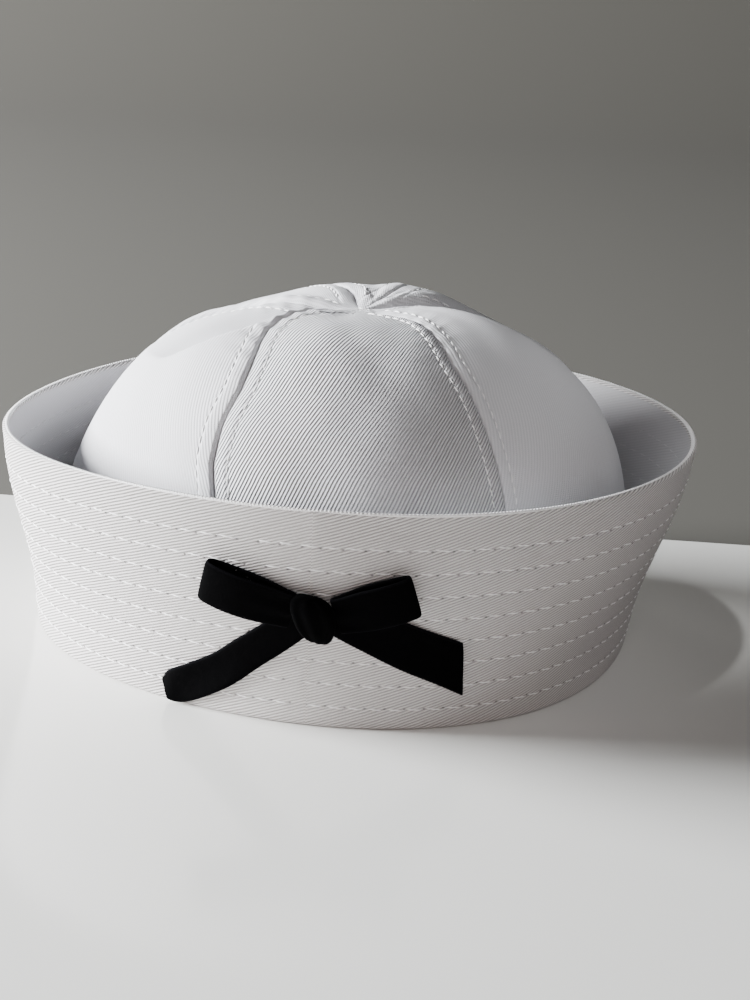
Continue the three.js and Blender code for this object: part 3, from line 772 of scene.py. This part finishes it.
# tails: right and up as shares of the tail's length, width as a share of the ribbon's, and how far
# the ribbon's lower edge runs ahead of its upper edge, as a share of that width
tails = dict(
    left=dict(length=60.0, rows=(
        (-0.075, -0.045, 0.7, 0), (-0.2, -0.15, 0.76, 0), (-0.357, -0.273, 0.78, 0),
        (-0.508, -0.391, 0.8, 0), (-0.68, -0.486, 0.82, 0), (-0.79, -0.537, 0.8, 0),
        (-0.85, -0.562, 0.7, 0), (-0.893, -0.578, 0.5, 0))),
    right=dict(length=47.0, rows=(
        (0.1, 0, 0.8, 0), (0.213, -0.038, 0.92, 0), (0.426, -0.132, 1, 0),
        (0.638, -0.23, 1.02, 0), (0.851, -0.323, 1.04, 0.14), (1, -0.392, 1.08, 0.36))),
)
bowCentre = brimPoint(bowShape["azimuth"], bowShape["share"])
bowDistance = np.hypot(bowCentre[0], bowCentre[1])
bowSlant = np.linalg.norm(brimPoint(bowShape["azimuth"], 1.0) - brimPoint(bowShape["azimuth"], 0.0))
upperOff = 2 * bowShape["gap"] + bowShape["cloth"]


def bowPoint(right, up, off):
    # across and up the brim's outside from the knot's centre, standing off along its normal
    azimuth = bowShape["azimuth"] + np.degrees(right / bowDistance)
    share = bowShape["share"] + up / bowSlant
    place = brimPoint(azimuth, share)
    sideways = brimPoint(azimuth + 1, share) - brimPoint(azimuth - 1, share)
    upwards = brimPoint(azimuth, share + 0.02) - brimPoint(azimuth, share - 0.02)
    normal = unit(np.cross(sideways, upwards))
    return place + normal * np.asarray(off)[..., None] + capShift


def ribbonSection(count=17):
    # across the ribbon's face and back, with rounded edges: side from -1 to 1, layer from 0 to 1
    side = np.sin(np.linspace(-np.pi / 2, np.pi / 2, count))
    top = np.stack([side, 1 - 0.3 * np.abs(side) ** 14], -1)
    bottom = np.stack([side[::-1], 0.3 * np.abs(side[::-1]) ** 14], -1)
    edge = np.array([[1.03, 0.5]])
    return np.concatenate([top, edge, bottom, -edge * [1, -1]])


def spline(rows, count):
    # smooth curve through the rows at even steps of their number (Catmull-Rom)
    rows = np.asarray(rows, float)
    padded = np.concatenate([[2 * rows[0] - rows[1]], rows, [2 * rows[-1] - rows[-2]]])
    at = np.linspace(0, len(rows) - 1, count)
    k = np.minimum(at.astype(int), len(rows) - 2)
    t = (at - k)[:, None]
    a, b, c, d = padded[k], padded[k + 1], padded[k + 2], padded[k + 3]
    bend, twist = 2 * a - 5 * b + 4 * c - d, 3 * b - a - 3 * c + d
    return 0.5 * (2 * b + (c - a) * t + bend * t ** 2 + twist * t ** 3)


def ribbonUv(along, section):
    # along the ribbon and across it, the edges at plus and minus half its width
    return stacked(along, np.append(section[:, 0], section[0, 0]) * bowShape["width"] / 2)


def buildTail(side):
    # the ribbon's section carried along a spline; its cut runs ahead at one edge
    shape, tail = bowShape, tails[side]
    length = tail["length"]
    path = spline(tail["rows"], 70)
    place, width, cut = path[:, :2] * length, path[:, 2] * shape["width"], path[:, 3] * shape["width"]
    along = unit(np.gradient(place, axis=0))
    section = ribbonSection()
    across, layer = section[None, :, 0], section[None, :, 1]
    half = across * width[:, None] / 2
    ahead = across * cut[:, None]
    right = place[:, None, 0] + along[:, None, 1] * half + along[:, None, 0] * ahead
    up = place[:, None, 1] - along[:, None, 0] * half + along[:, None, 1] * ahead
    reach = np.linspace(0, 1, len(path))[:, None]
    loose = shape["loose"] * smooth(reach, 0.2, 0.6)
    off = shape["gap"] + layer * shape["cloth"] + loose * (1 + np.sin(reach * 9.0 + 2.0 * across))
    name, uv = "tail_velvet_" + side, ribbonUv(reach * length, section)
    mesh = surfaceMesh(name, bowPoint(right, up, off), uv, closedAround=True, caps=True)
    turnOut(mesh)
    addPiece(name, mesh, blackVelvet, "bow_tail_" + side)


def buildLoop(side):
    # the ribbon's section carried around a closed line that leaves the knot at the loop's angle
    shape, loop = bowShape, loops[side]
    cloth, turn, length = shape["cloth"], np.radians(loop["angle"]), loop["length"]
    start = knotShape["width"] / 2

    def centreLine(phase):
        # two layers leave the knot close together, spread and turn round at the tip:
        # reach = (1 - cos(phase)) / 2, height = stand * (1 + sin(phase)^0.6) / 2
        part = (1 - np.cos(phase)) / 2
        stand = (loop["root"] + (loop["stand"] - loop["root"]) * smooth(part, 0, 0.75)) / 2
        rise = np.sin(phase)
        height = stand * (1 + np.sign(rise) * np.abs(rise) ** 0.6)
        return stacked(start + cloth / 2 + length * part, upperOff + cloth / 2 + height)

    count = 140
    phase = (np.arange(count) + 0.5) * 2 * np.pi / count
    place = centreLine(phase)
    along = unit(centreLine(phase + 0.04) - centreLine(phase - 0.04))
    part = ((1 - np.cos(phase)) / 2)[:, None]
    section = ribbonSection()
    across, layer = section[None, :, 0], section[None, :, 1] * 2 - 1
    width = shape["width"] * loop["width"] * (0.88 + 0.12 * smooth(part, 0, 0.45))
    pleat = shape["pleat"] * np.cos(across * 6.0) * smooth(part, 0.6, 0.0)
    out = place[:, None, 0] + layer * along[:, None, 1] * cloth / 2
    off = place[:, None, 1] - layer * along[:, None, 0] * cloth / 2 + pleat
    aside = across * width / 2
    right = out * np.cos(turn) - aside * np.sin(turn)
    up = out * np.sin(turn) + aside * np.cos(turn) - loop["drop"]
    name = "loop_velvet_" + side
    uv = ribbonUv(np.linspace(0, 2 * length, count + 1)[:, None], section)
    mesh = surfaceMesh(name, bowPoint(right, up, off), uv, closedAlong=True, closedAround=True)
    turnOut(mesh)
    addPiece(name, mesh, blackVelvet, "bow_loop_" + side)


def buildKnot():
    # a rounded block, wider above than below and leaning over, pleated from top to bottom
    shape = knotShape
    rise = np.sin(np.linspace(-np.pi / 2, np.pi / 2, 44))[:, None]
    turn = (np.arange(56) * 2 * np.pi / 56)[None, :]
    bulge = np.maximum((1 - np.abs(rise) ** 2.6) ** 0.42, 0.05)
    across = np.sign(np.cos(turn)) * np.abs(np.cos(turn)) ** 0.65
    out = np.sign(np.sin(turn)) * np.abs(np.sin(turn)) ** 0.7
    width = shape["width"] / 2 * (1 + shape["widen"] * rise) * bulge
    pleat = shape["pleat"] * np.cos(across * 7.0 + 1.4 * rise) * np.maximum(out, 0)
    off = upperOff + shape["depth"] / 2 * (1 + bulge * out) + pleat * bulge
    up = shape["up"] + shape["tall"] / 2 * rise - shape["tilt"] * across * bulge
    points = bowPoint(width * across - shape["slant"] * rise, up, off)
    uv = stacked(rise * 8.0, np.linspace(-6, 6, 57))
    mesh = surfaceMesh("bow_knot_velvet", points, uv, closedAround=True, caps=True)
    turnOut(mesh)
    addPiece("bow_knot_velvet", mesh, blackVelvet, "bow_knot")


# lint on the left loop's upper edge: where it starts, right and up from the knot, and its run;
# its ends stand off the brim by low and high
lintLook = dict(low=2.6, high=3.1, thread=0.14, sink=-0.05)
lint = ((-34.4, 12.6, 0.7, 1.9), (-33.2, 14.0, -1.3, 0.9), (-28.2, 13.6, 2.1, -0.2),
        (-24.6, 12.9, 1.6, 0.5), (-21.9, 11.9, 2.3, -0.5), (-20.2, 11.6, 1.4, -0.9))


def buildLint():
    look = lintLook
    right, up, overRight, overUp = np.array(lint).T
    starts = bowPoint(right, up, look["low"])
    ends = bowPoint(right + overRight, up + overUp, look["high"])
    ups = unit(bowPoint(right, up, look["low"] + 1.0) - starts)
    mesh = stitchMesh("lint", starts, ends, ups, look["thread"], look["sink"])
    addPiece("lint", mesh, whiteThread)


for tailSide in tails:
    buildTail(tailSide)
for loopSide in loops:
    buildLoop(loopSide)
buildKnot()
buildLint()
print("bow made")

# table, light and camera

stageLook = dict(
    tableColour=(0.88, 0.88, 0.85), tableGloss=0.14, tableFront=2.5, tableBack=0.128, halfWidth=3.0,
    backdropColour=(0.074, 0.071, 0.062), backdropFlat=1.1, backdropBend=0.8, backdropTop=3.2,
)


def buildStage():
    # a pale table that ends close behind the cap, and a backdrop level with it that bends up behind:
    # flat, then a quarter circle, then upright
    look = stageLook
    wide, front, back = look["halfWidth"], -look["tableFront"], look["tableBack"]
    material, shader = newMaterial("pale table", look["tableColour"], look["tableGloss"])
    shader.inputs["Specular IOR Level"].default_value = 0.5
    corners = [(-wide, front, 0), (wide, front, 0), (wide, back, 0), (-wide, back, 0)]
    addStage("table_top", corners, [(0, 1, 2, 3)], material)
    material, shader = newMaterial("grey backdrop", look["backdropColour"], 0.85)
    turn = np.linspace(0, np.pi / 2, 25)
    y = np.concatenate([[back, 0.5], look["backdropFlat"] + look["backdropBend"] * np.sin(turn)])
    z = np.concatenate([[0, 0], look["backdropBend"] * (1 - np.cos(turn))]) - 0.5 * mm
    y, z = np.append(y, y[-1]), np.append(z, look["backdropTop"])
    points = [(side * 2 * wide, *place) for side in (-1, 1) for place in zip(y, z)]
    count = len(y)
    faces = [(k, count + k, count + k + 1, k + 1) for k in range(count - 1)]
    addStage("backdrop", points, faces, material)


def addStage(name, points, faces, material):
    mesh = bpy.data.meshes.new(name)
    mesh.from_pydata(points, [], faces)
    mesh.polygons.foreach_set("use_smooth", np.ones(len(faces), bool))
    mesh.materials.append(material)
    thing = bpy.data.objects.new(name, mesh)
    bpy.context.scene.collection.objects.link(thing)


lights = (
    dict(name="window", position=(-1.5, 0.10, 0.45), target=(0, 0, 0.06), size=(0.95, 0.55), power=180,
         colour=(0.97, 0.985, 1.0)),
    dict(name="left wall", position=(-1.35, -0.9, 0.30), target=(0, 0, 0.06), size=(1.0, 0.5), power=6.5,
         colour=(1.0, 0.86, 0.83)),
    dict(name="room", position=(0.2, -1.7, 0.32), target=(0, 0, 0.04), size=(1.0, 0.5), power=6.5,
         colour=(1.0, 0.86, 0.82)),
    dict(name="right wall", position=(1.3, -0.2, 0.9), target=(0, 0, 0.08), size=(0.8, 0.8), power=0.8),
    dict(name="backdrop glow", position=(-0.95, 1.5, 0.7), target=(-0.5, 1.8, 0.2), size=(0.4, 0.9),
         power=12),
)
spots = (
    dict(name="crown fill", position=(0.58, -0.2, 1.1), target=(0.045, -0.02, 0.085), radius=0.08,
         cone=8.0, power=24),
    dict(name="brim fill", position=(-0.25, -0.3, 1.2), target=(0.102, 0.01, 0.05), radius=0.03,
         cone=4.6, power=24),
)
worldLight = dict(colour=(0.9, 0.93, 1.0), strength=0.055)


def hangLamp(light, look):
    # the lamp stands at its position and shines towards its target
    light.energy = look["power"]
    lamp = bpy.data.objects.new(look["name"], light)
    lamp.location = look["position"]
    aim = Vector(look["target"]) - Vector(look["position"])
    lamp.rotation_euler = aim.to_track_quat("-Z", "Y").to_euler()
    bpy.context.scene.collection.objects.link(lamp)


def addLights():
    for look in lights:
        light = bpy.data.lights.new(look["name"], "AREA")
        light.shape = "RECTANGLE"
        light.size, light.size_y = look["size"]
        light.color = look.get("colour", (1, 1, 1))
        hangLamp(light, look)
    for look in spots:
        light = bpy.data.lights.new(look["name"], "SPOT")
        light.shadow_soft_size = look["radius"]
        light.spot_size, light.spot_blend = np.radians(look["cone"]), 1.0
        hangLamp(light, look)
    world = bpy.data.worlds.new("room light")
    world.use_nodes = True
    background = world.node_tree.nodes["Background"]
    background.inputs["Color"].default_value = (*worldLight["colour"], 1)
    background.inputs["Strength"].default_value = worldLight["strength"]
    bpy.context.scene.world = world


cameraView = dict(distance=0.9, elevation=14.93, azimuth=4.4, roll=2.7, focus=2840.0, aimHeight=0.05,
                  aimX=342.96, aimY=471.82)


def addCamera():
    # the camera stands on a ray from the aim point; its shift brings the aim point to its pixel
    view = cameraView
    up, turn, roll = (np.radians(view[key]) for key in ("elevation", "azimuth", "roll"))
    toCamera = Vector((np.cos(up) * np.sin(turn), -np.cos(up) * np.cos(turn), np.sin(up)))
    right = Vector((np.cos(turn), np.sin(turn), 0))
    above = toCamera.cross(right)
    rolledRight = right * np.cos(roll) + above * np.sin(roll)
    rolledUp = above * np.cos(roll) - right * np.sin(roll)
    aim = Vector((capShift[0] * mm, capShift[1] * mm, view["aimHeight"]))
    data = bpy.data.cameras.new("camera")
    data.lens = view["focus"] / 1000 * 36
    data.sensor_width = 36
    data.shift_x = (375 - view["aimX"]) / 1000
    data.shift_y = (view["aimY"] - 500) / 1000
    camera = bpy.data.objects.new("camera", data)
    rotation = Matrix((rolledRight, rolledUp, toCamera)).transposed()
    place = aim + toCamera * view["distance"]
    camera.matrix_world = Matrix.LocRotScale(place, rotation.to_quaternion(), None)
    bpy.context.scene.collection.objects.link(camera)
    bpy.context.scene.camera = camera


buildStage()
addLights()
addCamera()
print("stage made")
